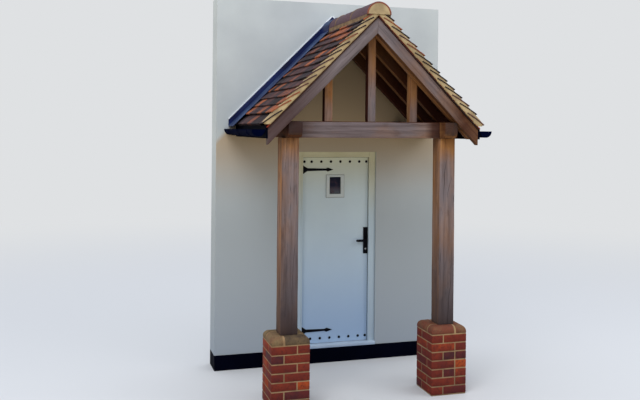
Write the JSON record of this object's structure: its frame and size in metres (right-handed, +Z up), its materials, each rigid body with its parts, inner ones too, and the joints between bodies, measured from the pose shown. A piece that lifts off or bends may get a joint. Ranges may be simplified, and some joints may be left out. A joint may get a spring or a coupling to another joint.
{
  "type": "entrance porch",
  "caption": "Gabled entrance porch: oak posts on brick piers, braced truss, plain tiled roof with lead flashing, on a bay of rendered wall with a studded front door.",
  "frame": {"origin": "foot of the house wall, in the plane of its outer face, on the centreline between the two posts, at ground level", "axes": "+X along the wall to the right as seen from outside, +Y into the house, +Z up"},
  "size_m": [2.3, 1.555, 3.5585],
  "materials": {
    "render": "smooth painted render",
    "plinth": "black masonry paint",
    "brick": "rough",
    "oak": "weathered",
    "boards": "sawn",
    "tiles": "matt",
    "mortar": "rough",
    "lead": "dull",
    "fascia": "painted",
    "gutter": "satin",
    "white": "satin white paint",
    "iron": "black",
    "steel": "satin",
    "glass": "clear"
  },
  "bodies": {
    "porch": {"wall_left_of_door": "render", "wall_right_of_door": "render", "wall_over_door": "render", "plinth_left": "plinth", "plinth_under_door": "plinth", "plinth_right": "plinth", "left_pier": "brick", "right_pier": "brick", "left_post": "oak", "right_post": "oak", "left_wall_plate": "oak", "right_wall_plate": "oak", "tie_beam": "oak", "king_post": "oak", "left_strut": "oak", "right_strut": "oak", "left_front_rafter": "oak", "right_front_rafter": "oak", "left_rear_rafters": "oak", "right_rear_rafters": "oak", "left_roof_boards": "boards", "right_roof_boards": "boards", "left_roof_tiles": "tiles", "right_roof_tiles": "tiles", "ridge_tiles": "tiles", "left_verge_mortar": "mortar", "right_verge_mortar": "mortar", "ridge_mortar": "mortar", "lead_flashing": "lead", "left_fascia": "fascia", "right_fascia": "fascia", "left_gutter": "gutter", "right_gutter": "gutter", "gutter_brackets": "gutter", "frame_left_jamb": "white", "frame_right_jamb": "white", "frame_head": "white", "door_threshold": "white", "hinge_frame_halves": "steel"},
    "door": {"hinge_leaf_halves": "steel", "door_leaf": "white", "vision_trims": "white", "vision_glass": "glass", "strap_hinges": "iron", "handle_plates": "iron", "lock_cylinder": "iron"},
    "lever": {"lever_handle": "iron"}
  },
  "joints": [
    {"name": "door_hinge", "type": "hinge", "parent": "porch", "child": "door", "pos_m": [-0.2995, 0.091, 1.1145], "axis": [0, 0, 1], "range_deg": [0, 95]},
    {"name": "lever_turn", "type": "hinge", "parent": "door", "child": "lever", "pos_m": [0.381, 0.062, 1.194], "axis": [0, -1, 0], "range_deg": [0, 40], "stiffness_Nm_per_rad": 1, "springref_deg": -34.38}
  ]
}
